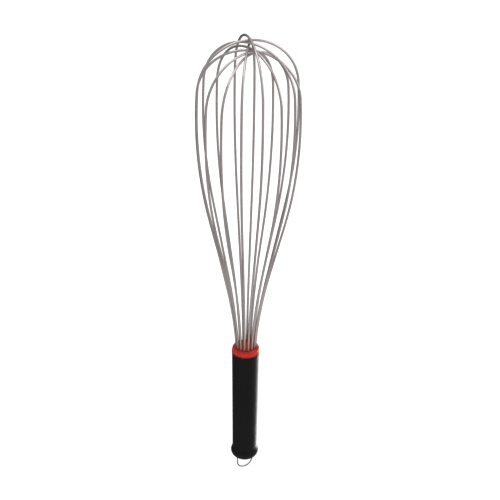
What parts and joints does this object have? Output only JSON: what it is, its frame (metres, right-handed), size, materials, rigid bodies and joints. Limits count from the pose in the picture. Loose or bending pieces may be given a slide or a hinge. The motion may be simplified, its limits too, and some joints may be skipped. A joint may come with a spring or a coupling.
{
  "type": "balloon whisk",
  "caption": "Long balloon whisk: a cage of steel wire loops held in a round sealed grip with a coloured collar, a flared butt and a swinging wire bail to hang it by",
  "frame": {"origin": "on the whisk's axis, half way along the handle from its butt face to the collar's rim, where the hand holds it", "axes": "+Z runs along the axis from the butt to the crown of the wires, +X along the hang bail's pivots, +Y across them"},
  "size_m": [0.1022, 0.1022, 0.5162],
  "materials": {
    "whisk_wire": "drawn stainless wire, polished",
    "grip_black": "satin moulded",
    "collar_red": "semi-gloss moulded",
    "seal_red": "cast, matt",
    "disc_white": "moulded",
    "bail_wire": "drawn stainless wire"
  },
  "bodies": {
    "whisk": {"wire_loop_1": "whisk_wire", "wire_loop_2": "whisk_wire", "wire_loop_3": "whisk_wire", "wire_loop_4": "whisk_wire", "wire_loop_5": "whisk_wire", "wire_loop_6": "whisk_wire", "wire_loop_7": "whisk_wire", "wire_loop_8": "whisk_wire", "grip_shell": "grip_black", "collar": "collar_red", "sealing_plug": "seal_red", "wire_guide_disc": "disc_white", "wire_anchor_disc": "disc_white", "butt_plug": "grip_black"},
    "bail": {"hang_bail": "bail_wire"}
  },
  "joints": [
    {"name": "bail_swing", "type": "hinge", "parent": "whisk", "child": "bail", "pos_m": [0, 0, -0.0728], "axis": [1, 0, 0], "range_deg": [-60, 60]}
  ]
}
